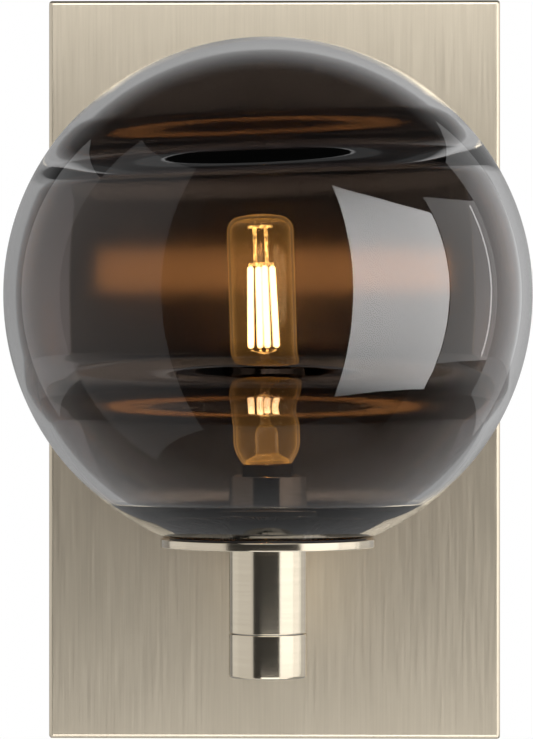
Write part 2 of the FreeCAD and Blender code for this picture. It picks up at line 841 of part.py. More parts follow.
def make_socket_terminals():
    """Two terminal screws, one in each notch of the lamp holder."""
    seat = f"({TUBE_BORE} - thread_clearance - terminal_notch_depth)"
    screws = []
    for side, name in ((1, "rear"), (-1, "front")):
        shank = cylinder(f"terminal_shank_{name}", "terminal_radius", "terminal_length")
        head = cylinder(f"terminal_head_{name}", "terminal_head_radius", "terminal_head")
        bind(head, "Placement.Base.z", "terminal_length")
        screw = fuse(f"terminal_{name}", shank, head)
        turn = Rotation(Vector(1, 0, 0), -90 * side)
        place(
            screw,
            y=f"{side} * ({seat} - terminal_length) - {AXIS_REACH}",
            z=TERMINAL_HEIGHT,
            rotation=turn,
        )
        screws.append(screw)
    return group("socket_terminals", *screws)


def make_socket_shelf():
    """The ring in the tube that the lamp holder stands on, with two wire holes."""
    hole = "nipple_radius + bolt_clearance"
    body = ring("socket_shelf", hole, TUBE_BORE, SHELF_FOOT, SOCKET_FOOT)
    wires = sketch_on(body, "XY_Plane", "shelf_wire_holes", SHELF_FOOT)
    for side in (-1, 1):
        add_circle(wires, f"{side} * shelf_wire_offset", "0", "shelf_wire_radius")
    pocket(body, wires, "shelf_wire_cut", "2 * shelf_thickness", midplane=True)
    return on_globe_axis(body)


def make_socket_nipple():
    """The hollow threaded rod that ties the lamp holder to the shelf."""
    low = f"{SHELF_FOOT} - socket_nipple_tail"
    high = f"{SOCKET_FOOT} + socket_nipple_hold"
    return on_globe_axis(ring("socket_nipple", "nipple_bore", "nipple_radius", low, high))


def make_socket_nut():
    """The hex nut under the shelf."""
    blank = hexagon("socket_nut_hex", "nut_flats", "nut_thickness")
    bore = cylinder("socket_nut_bore", "nipple_radius", "nut_thickness")
    return on_globe_axis(cut("socket_nut", blank, bore), f"{SHELF_FOOT} - nut_thickness")


def make_bulb_envelope():
    """The lamp's tubular glass, with a low dome and a drawn-in neck."""

    def dome_rise(radius, shoulder):
        """The radius of the arc over the top that meets the shoulder smoothly."""
        total = f"({shoulder} + bulb_dome_rise)"
        span = f"({radius} - {shoulder})"
        return f"(({span}^2 + {total}^2 - {shoulder}^2) / (2 * bulb_dome_rise))"

    top = BULB_TOP
    shoulder = "bulb_shoulder"
    side = "(bulb_radius - bulb_shoulder)"
    bend = f"({BULB_TOP} - bulb_dome_rise - bulb_shoulder)"
    dome = dome_rise("bulb_radius", shoulder)
    centre = f"({top} - {dome})"
    joint_x = f"({side} / ({dome} - {shoulder}))"
    joint_z = f"(({bend} - {centre}) / ({dome} - {shoulder}))"
    inner_dome = f"({dome} - bulb_glass)"
    inner_shoulder = "(bulb_shoulder - bulb_glass)"
    inner_neck = "(bulb_neck_radius - bulb_glass)"
    inner_round = "(bulb_neck_round - bulb_glass)"
    neck_centre = "(bulb_radius - bulb_neck_round)"
    neck_bend = f"({COLLAR_TOP} + sqrt(bulb_neck_round^2 - (bulb_neck_radius - {neck_centre})^2))"
    inner_end = f"({neck_bend} - sqrt({inner_round}^2 - ({inner_neck} - {neck_centre})^2))"
    envelope = turned(
        "bulb_envelope",
        (inner_neck, COLLAR_TOP),
        ("bulb_neck_radius", COLLAR_TOP),
        ("bulb_radius", neck_bend, "bulb_neck_round", 1),
        ("bulb_radius", bend),
        (f"{dome} * {joint_x}", f"{centre} + {dome} * {joint_z}", shoulder, 1),
        ("0", top, dome, 1),
        ("0", f"{top} - bulb_glass"),
        (
            f"{inner_dome} * {joint_x}",
            f"{centre} + {inner_dome} * {joint_z}",
            inner_dome,
            -1,
        ),
        ("bulb_radius - bulb_glass", bend, inner_shoulder, -1),
        ("bulb_radius - bulb_glass", neck_bend),
        (inner_neck, inner_end, inner_round, -1),
    )
    return lean(envelope)


def make_bulb_mount():
    """The glass stem that carries the filaments, flared to the envelope's neck."""
    height = f"({COLLAR_TOP} + mount_height)"
    flare = "(bulb_neck_radius - bulb_glass)"
    mount = turned(
        "bulb_mount",
        ("0", COLLAR_TOP),
        (flare, COLLAR_TOP),
        (flare, f"{COLLAR_TOP} + mount_flare"),
        ("mount_radius", f"{COLLAR_TOP} + 2 * mount_flare"),
        ("mount_radius", f"{height} - mount_radius"),
        ("mount_rod_radius", height),
        ("mount_rod_radius", f"{height} + mount_rod_height"),
        ("0", f"{height} + mount_rod_height"),
    )
    return lean(mount)


def filament_direction(number):
    """The foot and top points of one filament, which lean together towards the top."""
    angle = math.radians(value("filament_turn") + 360.0 * number / value("filament_count"))
    outward = Vector(math.cos(angle), math.sin(angle), 0)
    foot = outward * value("filament_foot_spread")
    top = outward * value("filament_top_spread")
    foot.z = value(FILAMENT_FOOT)
    top.z = value(FILAMENT_TOP)
    return foot, top


def rod(name, start, end, radius):
    """A bound cylinder from one point to another."""
    item = doc.addObject("Part::Cylinder", name)
    bind(item, "Radius", radius)
    item.Height = (end - start).Length
    item.Placement = Placement(start, Rotation(Vector(0, 0, 1), end - start))
    return item


def make_bulb_filaments():
    """The filament sticks, as separate solids."""
    sticks = []
    for number in range(int(value("filament_count"))):
        foot, top = filament_direction(number)
        sticks.append(rod(f"filament_{number + 1}", foot, top, "filament_radius"))
    return lean(group("bulb_filaments", *sticks))


def make_bulb_supports():
    """Wires from the glass stem to the filaments, and the holder that joins their tops."""
    hub_middle = Vector(0, 0, value(f"{STEM_TOP} + support_plate"))
    wire_end = Vector(0, 0, value("support_wire_radius + support_gap"))
    pieces = []
    for number in range(int(value("filament_count"))):
        foot, top = filament_direction(number)
        name = f"support_wire_{number + 1}"
        pieces.append(rod(name, hub_middle, foot - wire_end, "support_wire_radius"))
    hub = cylinder("support_hub", "mount_rod_radius", "2 * support_plate")
    bind(hub, "Placement.Base.z", STEM_TOP)
    plate = cylinder("support_plate_low", "support_plate_radius", "support_plate")
    bind(plate, "Placement.Base.z", HOLDER_FOOT)
    head = cylinder("support_plate_high", "support_plate_radius", "support_plate")
    bind(head, "Placement.Base.z", f"{HOLDER_FOOT} + support_plate + support_post_length")
    holder = [plate, head]
    for side, name in ((-1, "left"), (1, "right")):
        length = "support_post_length + 2 * support_plate"
        post = cylinder(f"support_post_{name}", "support_post_radius", length)
        bind(post, "Placement.Base.x", f"{side} * support_post_offset")
        bind(post, "Placement.Base.z", HOLDER_FOOT)
        holder.append(post)
    feet = fuse("support_feet", hub, *pieces)
    return lean(group("bulb_supports", feet, fuse("support_holder", *holder)))


def make_bulb_collar():
    """The band between the lamp's glass and its screw base."""
    bore = "bulb_shell_radius - bulb_shell_wall"
    return lean(ring("bulb_collar", bore, "collar_radius", COLLAR_FOOT, COLLAR_TOP))


def make_bulb_shell():
    """The lamp's screw base."""
    bore = "bulb_shell_radius - bulb_shell_wall"
    return on_globe_axis(
        ring("bulb_shell", bore, "bulb_shell_radius", SHELL_FOOT, SHELL_TOP)
    )


def make_bulb_insulator():
    """The cone between the screw base and the centre contact."""
    cone = turned(
        "bulb_insulator",
        ("0", TIP_TOP),
        ("tip_radius", TIP_TOP),
        ("bulb_shell_radius - bulb_shell_wall", SHELL_FOOT),
        ("bulb_shell_radius - bulb_shell_wall", f"{SHELL_FOOT} + bulb_cone"),
        ("0", f"{SHELL_FOOT} + bulb_cone"),
    )
    return on_globe_axis(cone)


def make_bulb_tip():
    """The lamp's centre contact."""
    tip = turned(
        "bulb_tip",
        ("0", f"{TIP_TOP} - tip_length"),
        ("tip_radius - tip_length / 2", f"{TIP_TOP} - tip_length"),
        ("tip_radius", f"{TIP_TOP} - tip_length / 2", "tip_length / 2", 1),
        ("tip_radius", TIP_TOP),
        ("0", TIP_TOP),
    )
    return on_globe_axis(tip)


nodes = [
    make_backplate(),
    make_crossbar(),
    make_ground_screw(),
    make_side_screws(),
    make_arm(),
    make_arm_nipple(),
    make_arm_washer(),
    make_arm_nut(),
    make_wire_bushing(),
    make_socket_tube(),
    make_glass_seat(),
    make_seat_gasket(),
    make_grip_sleeve(),
    make_end_cap(),
    make_cap_thread_ring(),
    make_globe(),
    make_socket_insulator(),
    make_socket_shell(),
    make_socket_contact(),
    make_socket_terminals(),
    make_socket_shelf(),
    make_socket_nipple(),
    make_socket_nut(),
    make_bulb_envelope(),
    make_bulb_mount(),
    make_bulb_filaments(),
    make_bulb_supports(),
    make_bulb_collar(),
    make_bulb_shell(),
    make_bulb_insulator(),
    make_bulb_tip(),
]
doc.recompute()

for item in doc.Objects:
    if "Invalid" in item.State or "Error" in item.State:
        raise RuntimeError(f"{item.Label} did not build: {item.State}")
for node in nodes:
    if node.Shape.isNull() or not node.Shape.isValid():
        raise RuntimeError(f"{node.Label} has no valid shape")

os.makedirs("parts", exist_ok=True)
for node in nodes:
    node.Shape.exportStep(os.path.join("parts", f"{node.Label}.step"))
    print(f"{node.Label}: {len(node.Shape.Solids)} solid, {node.Shape.Volume:.1f} mm3")
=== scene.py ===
"""The looks of a globe wall sconce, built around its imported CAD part. Lengths are in metres."""

import math

import bmesh
import bpy
from mathutils import Matrix, Vector


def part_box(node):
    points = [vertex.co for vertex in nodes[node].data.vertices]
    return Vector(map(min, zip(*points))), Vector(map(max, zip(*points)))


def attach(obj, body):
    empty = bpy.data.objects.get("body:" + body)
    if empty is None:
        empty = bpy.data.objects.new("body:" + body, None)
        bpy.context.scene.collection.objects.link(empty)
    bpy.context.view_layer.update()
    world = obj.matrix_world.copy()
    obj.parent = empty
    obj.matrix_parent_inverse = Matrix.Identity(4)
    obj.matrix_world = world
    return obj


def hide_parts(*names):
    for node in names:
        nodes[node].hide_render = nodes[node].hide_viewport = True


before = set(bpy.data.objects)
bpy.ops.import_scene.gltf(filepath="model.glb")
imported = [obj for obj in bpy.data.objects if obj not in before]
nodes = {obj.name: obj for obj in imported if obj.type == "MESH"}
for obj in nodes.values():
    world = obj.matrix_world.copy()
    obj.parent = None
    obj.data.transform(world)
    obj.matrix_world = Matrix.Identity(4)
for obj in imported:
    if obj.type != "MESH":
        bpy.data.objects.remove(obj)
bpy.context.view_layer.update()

MM = 0.001
TAU = 2 * math.pi


# Sizes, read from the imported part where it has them


def low(node):
    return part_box(node)[0]


def high(node):
    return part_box(node)[1]


def width(node):
    return high(node)[0] - low(node)[0]


def middle(node):
    return (low(node) + high(node)) / 2


AXIS = Vector((0, middle("socket_tube").y, 0))
PLATE_FRONT = low("backplate").y

GLOBE_RADIUS = width("globe_glass") / 2
GLOBE_FOOT = low("globe_glass").z
GLOBE_TOP = high("globe_glass").z
# How much flatter than a sphere the crown is
CROWN_DROP = 2.0 * MM
GLOBE_CENTRE = GLOBE_TOP - GLOBE_RADIUS + CROWN_DROP
GLOBE_WALL = 3.5 * MM
# The thickness of the glass under the hollow
GLOBE_FLOOR = 9.0 * MM
FLOOR_ROUND = 15.0 * MM
NECK_RADIUS = 14.3 * MM
# Points deeper in the globe's wall than this belong to its inner skin
SKIN_DEPTH = GLOBE_WALL * 0.6
# From the globe's middle out to here, at its sides, the rings fade to none
RING_REACH = GLOBE_RADIUS / 1.15
# The rings' thick glass is painted dark, as shade, over this many times their height
RING_SHADE = 1.3
# Each inner ring: height over the globe's centre, depth, half height and tilt
RINGS = (
    (39.0 * MM, 5.6 * MM, 9.2 * MM, math.radians(2.1)),
    (-26.0 * MM, 4.7 * MM, 9.5 * MM, math.radians(0.0)),
)

TUBE_RADIUS = width("socket_tube") / 2
TUBE_WALL = 1.0 * MM
SEAT_RADIUS = width("glass_seat") / 2
CAP_WALL = 1.6 * MM

BULB_LEAN = math.radians(-1.8)
BULB_RADIUS = 9.45 * MM
BULB_GLASS = 0.8 * MM
# The leaned collar dips below its own foot by this much
COLLAR_DIP = 0.23 * MM
COLLAR_FOOT = low("bulb_collar").z + COLLAR_DIP
COLLAR_HEIGHT = 3.9 * MM
COLLAR_RADIUS = 7.25 * MM
BULB_NECK = 6.9 * MM
COLLAR_TOP = COLLAR_FOOT + COLLAR_HEIGHT
BULB_GLASS_LENGTH = 70.9 * MM
BULB_TOP = COLLAR_TOP + BULB_GLASS_LENGTH


# Shape helpers


ROUND_STEPS = 6
SHARP_ANGLE = math.radians(35)


def rounded(*corners):
    """Outline points (radius, height) of a polygon whose corners are (x, z, round) triples."""
    points = []
    count = len(corners)
    for index, (x, z, size) in enumerate(corners):
        here = Vector((x, z))
        if size <= 0:
            points.append(here)
            continue
        to_last = Vector(corners[index - 1][:2]) - here
        to_next = Vector(corners[(index + 1) % count][:2]) - here
        half = to_last.angle(to_next) / 2
        reach = size / math.tan(half)
        start = here + to_last.normalized() * reach
        end = here + to_next.normalized() * reach
        centre = here + (to_last.normalized() + to_next.normalized()).normalized() * (
            size / math.sin(half)
        )
        first, last = start - centre, end - centre
        turn = first.angle_signed(last)
        for step in range(ROUND_STEPS + 1):
            arm = first.copy()
            arm.rotate(Matrix.Rotation(-turn * step / ROUND_STEPS, 2))
            points.append(centre + arm)
    return points


def arc(centre, radius, start, end, steps):
    """Points on an arc from one angle to another, in degrees over the horizontal."""
    x, z = centre
    angles = (math.radians(start + (end - start) * n / steps) for n in range(steps + 1))
    return [Vector((x + radius * math.cos(a), z + radius * math.sin(a))) for a in angles]


def lathe(name, outline, segments, offset=None, axis=AXIS):
    """Turns an outline about a vertical axis and closes it, unless both its ends are on the axis.

    offset(x, z, angle) adds to a point's radius.
    """
    mesh = bpy.data.meshes.new(name)
    build = bmesh.new()
    rings = []
    for x, z in outline:
        if x < 1e-7:
            rings.append([build.verts.new((axis.x, axis.y, z))])
            continue
        ring = []
        for n in range(segments):
            angle = TAU * n / segments
            radius = x + (offset(x, z, angle) if offset else 0.0)
            place = (axis.x + radius * math.cos(angle), axis.y + radius * math.sin(angle), z)
            ring.append(build.verts.new(place))
        rings.append(ring)
    pairs = list(zip(rings, rings[1:]))
    if not (len(rings[0]) == 1 and len(rings[-1]) == 1):
        pairs.append((rings[-1], rings[0]))
    for first, second in pairs:
        for n in range(segments):
            after = (n + 1) % segments
            corners = [first[n % len(first)], first[after % len(first)]]
            corners += [second[after % len(second)], second[n % len(second)]]
            unique = list(dict.fromkeys(corners))
            if len(unique) > 2:
                build.faces.new(unique)
    bmesh.ops.recalc_face_normals(build, faces=build.faces)
    build.to_mesh(mesh)
    build.free()
    return finished(name, mesh)


def finished(name, mesh):
    """A smooth-shaded object of a mesh, with sharp edges kept."""
    for face in mesh.polygons:
        face.use_smooth = True
    mesh.set_sharp_from_angle(angle=SHARP_ANGLE)
    piece = bpy.data.objects.new(name, mesh)
    bpy.context.scene.collection.objects.link(piece)
    return piece


def leaned(piece):
    """Leans a piece of the lamp to the left about the foot of its collar."""
    foot = Vector((AXIS.x, AXIS.y, COLLAR_FOOT))
    turn = Matrix.Rotation(BULB_LEAN, 4, "Y")
    piece.data.transform(Matrix.Translation(foot) @ turn @ Matrix.Translation(-foot))
    return piece


def joined(name, parts):
    """Several pieces as one mesh."""
    build = bmesh.new()
    for part in parts:
        build.from_mesh(part.data)
        bpy.data.objects.remove(part)
    mesh = bpy.data.meshes.new(name)
    build.to_mesh(mesh)
    build.free()
    return finished(name, mesh)


def rod(name, start, end, radius, segments=24):
    """A round bar with domed ends from one point to another."""
    length = (end - start).length
    dome_steps = 4
    foot = arc((0, radius), radius, -90, 0, dome_steps)
    head = arc((0, length - radius), radius, 0, 90, dome_steps)
    outline = [Vector((abs(x), z)) for x, z in foot + head]
    piece = lathe(name, outline, segments, axis=Vector())
    turn = (end - start).to_track_quat("Z", "Y").to_matrix().to_4x4()
    piece.data.transform(Matrix.Translation(start) @ turn)
    return piece


def shown(piece, node, body, material):
    """Shows a piece with its material in place of its CAD node."""
    piece.data.materials.append(material)
    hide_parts(node)
    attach(piece, body)


# Materials


class Shader:
    """A material or a world, and short ways to add nodes to it."""

    def __init__(self, name, world=False):
        self.owner = (bpy.data.worlds if world else bpy.data.materials).new(name)
        self.owner.use_nodes = True
        self.tree = self.owner.node_tree
        self.tree.nodes.clear()
        self.output = self.tree.nodes.new("ShaderNodeOutput" + ("World" if world else "Material"))

    def add(self, kind, **inputs):
        """A node with its inputs, whose names have an underscore for each space."""
        node = self.tree.nodes.new("ShaderNode" + kind)
        for key, entry in inputs.items():
            self.fill(node.inputs[key.replace("_", " ")], entry)
        return node

    def fill(self, socket, entry):
        """Links a socket to another one, or sets its value."""
        if isinstance(entry, bpy.types.NodeSocket):
            self.tree.links.new(entry, socket)
        elif isinstance(entry, (tuple, list)) and len(entry) == 3 and socket.type == "RGBA":
            socket.default_value = (*entry, 1.0)
        else:
            socket.default_value = entry

    def math(self, operation, *entries, clamp=False):
        node = self.add("Math")
        node.operation = operation
        node.use_clamp = clamp
        for socket, entry in zip(node.inputs, entries):
            self.fill(socket, entry)
        return node.outputs[0]

    def stretched(self, *scale):
        """Object coordinates, scaled by axis."""
        place = self.add("TexCoord").outputs["Object"]
        mapping = self.add("Mapping")
        self.fill(mapping.inputs["Vector"], place)
        mapping.inputs["Scale"].default_value = scale
        return mapping.outputs["Vector"]

    def part(self, vector, axis):
        return self.add("SeparateXYZ", Vector=vector).outputs[axis]

    def noise(self, vector, scale, detail=3.0):
        return self.add("TexNoise", Vector=vector, Scale=scale, Detail=detail).outputs["Fac"]

    def between(self, factor, low_value, high_value):
        """A value that goes from low to high with a factor of 0 to 1."""
        node = self.add("MapRange")
        self.fill(node.inputs["Value"], factor)
        node.inputs["To Min"].default_value = low_value
        node.inputs["To Max"].default_value = high_value
        return node.outputs["Result"]

    def blend(self, factor, first, second):
        """A colour between two colours."""
        node = self.tree.nodes.new("ShaderNodeMix")
        node.data_type = "RGBA"
        self.fill(node.inputs[0], factor)
        self.fill(node.inputs[6], first)
        self.fill(node.inputs[7], second)
        return node.outputs[2]

    def bump(self, height, strength, distance):
        return self.add("Bump", Height=height, Strength=strength, Distance=distance).outputs[0]

    def principled(self, **inputs):
        return self.add("BsdfPrincipled", **inputs)

    def surface(self, shader):
        """The finished material or world."""
        self.tree.links.new(shader, self.output.inputs["Surface"])
        return self.owner


# How fine the brushed grain is across its direction, in noise cells to a metre
COARSE_GRAIN = 108.0
FINE_GRAIN = 1260.0
COARSE_SHARE = 0.2
FINE_SHARE = 0.8
# How fine the grain of moulded pieces, the waves in the glass and the filaments' specks are
MOULD_GRAIN = 1500.0
GLOBE_WAVES = 22.0
LAMP_WAVES = 60.0
FILAMENT_SPECKS = 4000.0
# The lamp's light, painted as a glow on its wires and in its glass
WIRE_GLOW = (1.0, 0.58, 0.16)
GLASS_GLOW = (1.0, 0.5, 0.1)

GLASS_IOR = 1.5


def brushed_metal(name, colour, shade, grain, rough, stretch):
    """Metal with fine scratches along one direction: stretch is small along the grain."""
    shader = Shader(name)
    place = shader.stretched(*stretch)
    coarse = shader.noise(place, COARSE_GRAIN, 2.0)
    hair = shader.noise(place, FINE_GRAIN)
    both = shader.math(
        "ADD",
        shader.math("MULTIPLY", coarse, COARSE_SHARE),
        shader.math("MULTIPLY", hair, FINE_SHARE),
    )
    node = shader.principled(
        Base_Color=shader.blend(both, shade, colour),
        Metallic=1.0,
        Roughness=shader.between(hair, rough - 0.05, rough + 0.05),
        Normal=shader.bump(hair, grain, 0.00005),
    )
    return shader.surface(node.outputs[0])


def plain_metal(name, colour, rough, spots=900.0, glow=(0.0, 0.0)):
    """Metal with a slight unevenness of gloss, and the lamp's light painted on it as a glow where
    it glows.
    """
    shader = Shader(name)
    cloud = shader.noise(shader.stretched(1, 1, 1), spots, 4.0)
    node = shader.principled(
        Base_Color=shader.blend(cloud, [c * 0.85 for c in colour], colour),
        Metallic=1.0,
        Roughness=shader.between(cloud, rough - 0.06, rough + 0.06),
        Normal=shader.bump(cloud, 0.05, 0.00005),
    )
    # Painted glow: the lamp's light on the wires, as emission
    if max(glow) > 0:
        node.inputs["Emission Color"].default_value = (*WIRE_GLOW, 1.0)
        bright = shader.math("POWER", cloud, 3.0)
        shader.fill(node.inputs["Emission Strength"], shader.between(bright, *glow))
    return shader.surface(node.outputs[0])


def moulded(name, colour, rough, gloss=0.5):
    """Plastic, rubber or ceramic with a fine grain."""
    shader = Shader(name)
    cloud = shader.noise(shader.stretched(1, 1, 1), MOULD_GRAIN, 4.0)
    node = shader.principled(
        Base_Color=shader.blend(cloud, [c * 0.8 for c in colour], colour),
        Roughness=shader.between(cloud, rough - 0.05, rough + 0.05),
        Normal=shader.bump(cloud, 0.1, 0.00004),
    )
    node.inputs["Specular IOR Level"].default_value = gloss
    return shader.surface(node.outputs[0])


def clear_shadow(shader, glass, tint):
    """Lets the light on rough surfaces come straight through glass, with its tint."""
    straight = shader.add("BsdfTransparent", Color=tint)
    rays = shader.add("LightPath").outputs
    rough = shader.math("SUBTRACT", rays["Is Glossy Ray"], rays["Is Singular Ray"], clamp=True)
    scattered = shader.math("MAXIMUM", rays["Is Diffuse Ray"], rough)
    mix = shader.add("MixShader")
    shader.fill(mix.inputs[0], shader.math("MAXIMUM", rays["Is Shadow Ray"], scattered))
    shader.tree.links.new(glass, mix.inputs[1])
    shader.tree.links.new(straight.outputs[0], mix.inputs[2])
    return shader.surface(mix.outputs[0])


def ring_shade_mask(shader, place):
    """Where the rings' shade is painted: 1 in a ring's thick middle and 0 outside it and at the
    sides.
    """
    thick = 0.0
    for middle_height, _, half, _ in RINGS:
        over = shader.math("ADD", shader.part(place, "Z"), -(GLOBE_CENTRE + middle_height))
        away = shader.math("MULTIPLY", shader.math("ABSOLUTE", over), 1 / (RING_SHADE * half))
        near = shader.math("SUBTRACT", 1.0, shader.math("POWER", away, 3.0), clamp=True)
        thick = shader.math("ADD", near, thick, clamp=True)
    across = shader.math("MULTIPLY", shader.part(place, "X"), 1 / RING_REACH)
    fade = shader.math("SUBTRACT", 1.0, shader.math("MULTIPLY", across, across), clamp=True)
    return shader.math("MULTIPLY", thick, fade)


# The smoke of a skin a shadow ray crosses once: low on the globe, and with painted shade at its
# crown and in a ring
LIGHT_SMOKE = (0.31, 0.28, 0.27)
SHADED_CROWN_SMOKE = (0.16, 0.14, 0.135)
SHADED_RING_SMOKE = (0.09, 0.075, 0.075)
# The height over the globe's centre where the smoke's painted shade is darkest, and how uneven it
# is
CROWN_SHADE_HEIGHT = 42 * MM
CLOUDINESS = 0.2


def smoke_glass():
    """Clear glass with a smoky inner skin, as a cased glass has."""
    shader = Shader("smoke_glass")
    place = shader.add("TexCoord").outputs["Object"]
    offset = shader.add("VectorMath")
    offset.operation = "DISTANCE"
    shader.fill(offset.inputs[0], place)
    offset.inputs[1].default_value = (AXIS.x, AXIS.y, GLOBE_CENTRE)
    inside = shader.math("LESS_THAN", offset.outputs["Value"], GLOBE_RADIUS - SKIN_DEPTH)
    wave = shader.noise(shader.stretched(1, 1, 1), GLOBE_WAVES, 1.0)
    height = shader.add("MapRange", Value=shader.part(place, "Z"))
    height.inputs["From Min"].default_value = GLOBE_CENTRE
    height.inputs["From Max"].default_value = GLOBE_CENTRE + CROWN_SHADE_HEIGHT
    # Painted shade: the smoke darkens from the globe's centre up to its crown, under a random
    # cloud
    crown = shader.math("MULTIPLY", height.outputs["Result"], 1 - CLOUDINESS)
    uneven = shader.math("MULTIPLY_ADD", wave, CLOUDINESS, crown)
    thick = ring_shade_mask(shader, place)
    # The rings' painted shade darkens the smoke further
    smoke = shader.blend(thick, shader.blend(uneven, LIGHT_SMOKE, SHADED_CROWN_SMOKE), SHADED_RING_SMOKE)
    tint = shader.blend(inside, (1.0, 1.0, 1.0), smoke)
    # A skin that is crossed once takes the square root of the glass colour
    deep = shader.blend(uneven, [c**2 for c in LIGHT_SMOKE], [c**2 for c in SHADED_CROWN_SMOKE])
    # The rings' painted shade, in the glass colour too
    deep = shader.blend(thick, deep, [c**2 for c in SHADED_RING_SMOKE])
    glass = shader.principled(
        Base_Color=shader.blend(inside, (1.0, 1.0, 1.0), deep),
        Roughness=0.0,
        Transmission_Weight=1.0,
        Normal=shader.bump(wave, 0.05, 0.002),
    )
    glass.inputs["IOR"].default_value = GLASS_IOR
    return clear_shadow(shader, glass.outputs[0], tint)


def clear_glass(name, tint, glow):
    """Thin clear glass with the lamp's light painted on as a glow, mostly at its edges."""
    shader = Shader(name)
    facing = shader.add("LayerWeight", Blend=0.35).outputs["Facing"]
    wave = shader.noise(shader.stretched(1, 1, 1), LAMP_WAVES, 1.0)
    colour = shader.blend(wave, [c * 0.97 for c in tint], tint)
    glass = shader.principled(
        Base_Color=colour,
        Roughness=0.0,
        Transmission_Weight=1.0,
        # Painted glow for the lamp's light, strongest at the glass's edges
        Emission_Color=GLASS_GLOW,
        Emission_Strength=shader.between(shader.math("POWER", facing, 3.0), *glow),
        Normal=shader.bump(wave, 0.03, 0.0005),
    )
    glass.inputs["IOR"].default_value = GLASS_IOR
    return clear_shadow(shader, glass.outputs[0], colour)


def glowing(name, centre_colour, edge_colour, strength):
    """A lit filament: whiter in the middle, deeper towards its edge."""
    shader = Shader(name)
    facing = shader.add("LayerWeight", Blend=0.4).outputs["Facing"]
    speckle = shader.noise(shader.stretched(1, 1, 1), FILAMENT_SPECKS, 2.0)
    light = shader.add(
        "Emission",
        Color=shader.blend(facing, centre_colour, edge_colour),
        Strength=shader.between(speckle, strength * 0.85, strength * 1.15),
    )
    return shader.surface(light.outputs[0])


NICKEL = (0.85, 0.755, 0.60)
NICKEL_SHADE = (0.70, 0.615, 0.48)
plate_nickel = brushed_metal("plate_nickel", NICKEL, NICKEL_SHADE, 0.6, 0.33, (1, 1, 0.03))
turned_nickel = brushed_metal("turned_nickel", NICKEL, NICKEL_SHADE, 0.12, 0.15, (0.03, 0.03, 1))
steel = plain_metal("zinc_steel", (0.62, 0.63, 0.64), 0.32)
green_steel = plain_metal("green_steel", (0.05, 0.30, 0.12), 0.35)
brass = plain_metal("brass", (0.80, 0.58, 0.28), 0.28)
base_metal = plain_metal("base_metal", (0.72, 0.70, 0.66), 0.22)
wire_metal = plain_metal("wire_metal", (0.75, 0.66, 0.50), 0.25, spots=700.0, glow=(0.2, 30.0))
rubber = moulded("rubber", (0.012, 0.012, 0.014), 0.55)
black_plastic = moulded("black_plastic", (0.02, 0.02, 0.022), 0.35)
black_glass = moulded("black_glass", (0.012, 0.010, 0.014), 0.08, gloss=0.7)
ceramic = moulded("collar_ceramic", (0.10, 0.07, 0.04), 0.25)
smoke = smoke_glass()
lamp_glass = clear_glass("lamp_glass", (0.97, 0.95, 0.92), (0.07, 1.5))
stem_glass = clear_glass("stem_glass", (0.95, 0.86, 0.68), (0.1, 2.0))
filament = glowing("filament_glow", (1.0, 0.78, 0.42), (1.0, 0.45, 0.08), 14.0)


# Globe


def outer_radius(latitude):
    """The globe's outer distance from its centre: a sphere with a slightly flat crown."""
    return GLOBE_RADIUS - CROWN_DROP * max(0.0, math.sin(latitude)) ** 2


def globe_point(radius, latitude):
    """An outline point at a distance and an angle from the globe's centre."""
    return Vector((radius * math.cos(latitude), GLOBE_CENTRE + radius * math.sin(latitude)))


def ring_depth(height, across):
    """How far the inner rings stand in at a height over the centre and a place across."""
    depth = 0.0
    for middle_height, reach, half, tilt in RINGS:
        away = (height - middle_height - across * math.tan(tilt)) / half
        if abs(away) < 1:
            depth += reach * math.cos(math.pi * away / 2) ** 2
    return depth * (1 - min(1.0, abs(across) / RING_REACH) ** 2)


OUTER_STEPS = 100
INNER_STEPS = 340
BOWL_STEPS = 24
GLOBE_SEGMENTS = 256


def make_globe():
    """The smoke globe: a foot, an open neck and a hollow with two inner rings."""
    foot = GLOBE_FOOT - GLOBE_CENTRE
    foot_latitude = math.asin(foot / GLOBE_RADIUS)
    floor = foot + GLOBE_FLOOR
    outer, inner = [], []
    for step in range(OUTER_STEPS + 1):
        latitude = foot_latitude + (math.pi / 2 - foot_latitude) * step / OUTER_STEPS
        outer.append(globe_point(outer_radius(latitude), latitude))
    # The hollow's floor meets its wall in a wide round
    gap = GLOBE_RADIUS - GLOBE_WALL - FLOOR_ROUND
    round_height = floor + FLOOR_ROUND
    round_x = math.sqrt(gap**2 - round_height**2)
    wall_start = math.atan2(round_height, round_x)
    for step in range(INNER_STEPS + 1):
        latitude = math.pi / 2 + (wall_start - math.pi / 2) * step / INNER_STEPS
        inner.append(globe_point(outer_radius(latitude) - GLOBE_WALL, latitude))
    bowl_centre = (round_x, GLOBE_CENTRE + round_height)
    bowl = arc(bowl_centre, FLOOR_ROUND, math.degrees(wall_start), -90, BOWL_STEPS)
    neck = [Vector((NECK_RADIUS, GLOBE_CENTRE + floor)), Vector((NECK_RADIUS, GLOBE_FOOT))]
    outer[-1].x = inner[0].x = 0.0
    outline = outer + inner + bowl[1:] + neck

    def rings(x, z, angle):
        """Draws the hollow's wall in by the rings' depth."""
        height = z - GLOBE_CENTRE
        distance = math.hypot(x, height)
        if distance > GLOBE_RADIUS - SKIN_DEPTH or distance < gap:
            return 0.0
        return -ring_depth(height, x * math.cos(angle)) * x / distance

    globe = lathe("globe_glass_shown", outline, GLOBE_SEGMENTS, rings)
    shown(globe, "globe_glass", "globe", smoke)


make_globe()


# Socket tube, seat and cap


def make_tube():
    """The upright tube under and inside the globe's foot."""
    top, foot = high("socket_tube").z, low("socket_tube").z
    bore = TUBE_RADIUS - TUBE_WALL
    outline = rounded(
        (TUBE_RADIUS, foot, 0.25 * MM),
        (TUBE_RADIUS, top, 0.25 * MM),
        (bore, top, 0.2 * MM),
        (bore, foot, 0.1 * MM),
    )
    tube = lathe("socket_tube_shown", outline, 160)
    shown(tube, "socket_tube", "fixture", turned_nickel)


